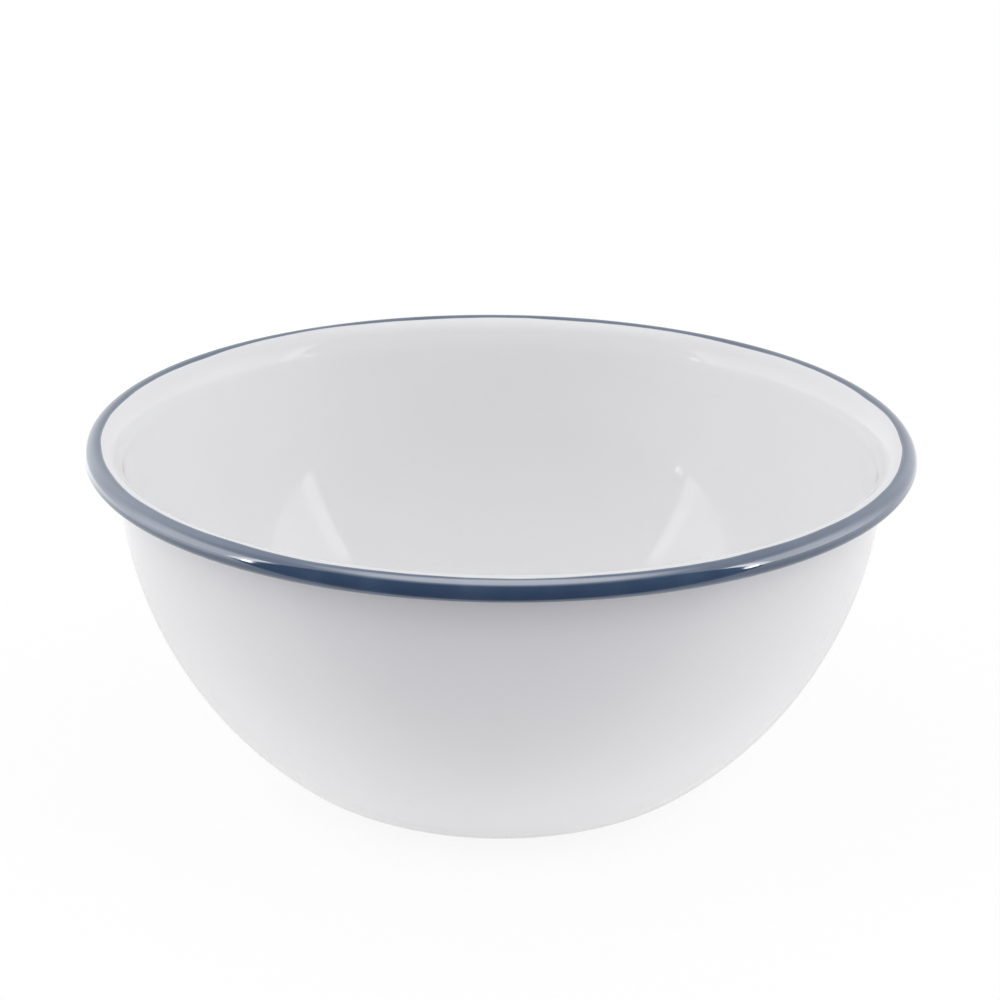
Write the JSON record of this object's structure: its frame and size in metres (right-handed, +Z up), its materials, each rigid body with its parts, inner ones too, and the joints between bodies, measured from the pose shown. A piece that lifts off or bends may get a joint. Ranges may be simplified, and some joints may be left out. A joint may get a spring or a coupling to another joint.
{
  "type": "enamel cereal bowl",
  "caption": "Round flat-based cereal bowl of pressed steel under fired enamel, white inside and out, with a rolled outward rim under a blue enamel band.",
  "frame": {"origin": "centre of the flat base, on the surface that the bowl stands on", "axes": "+Z up along the bowl's axis, out of its mouth; X and Y level, and alike on a round bowl"},
  "size_m": [0.16, 0.16, 0.07],
  "materials": {
    "deep_drawn_steel": "satin",
    "ground_enamel": "satin",
    "white_enamel": "gloss",
    "blue_enamel": "gloss"
  },
  "bodies": {
    "root": {"steel_bowl": "deep_drawn_steel", "ground_coat_inside": "ground_enamel", "ground_coat_outside": "ground_enamel", "white_coat_inside": "white_enamel", "white_coat_outside": "white_enamel", "blue_rim_coat": "blue_enamel"}
  },
  "joints": []
}
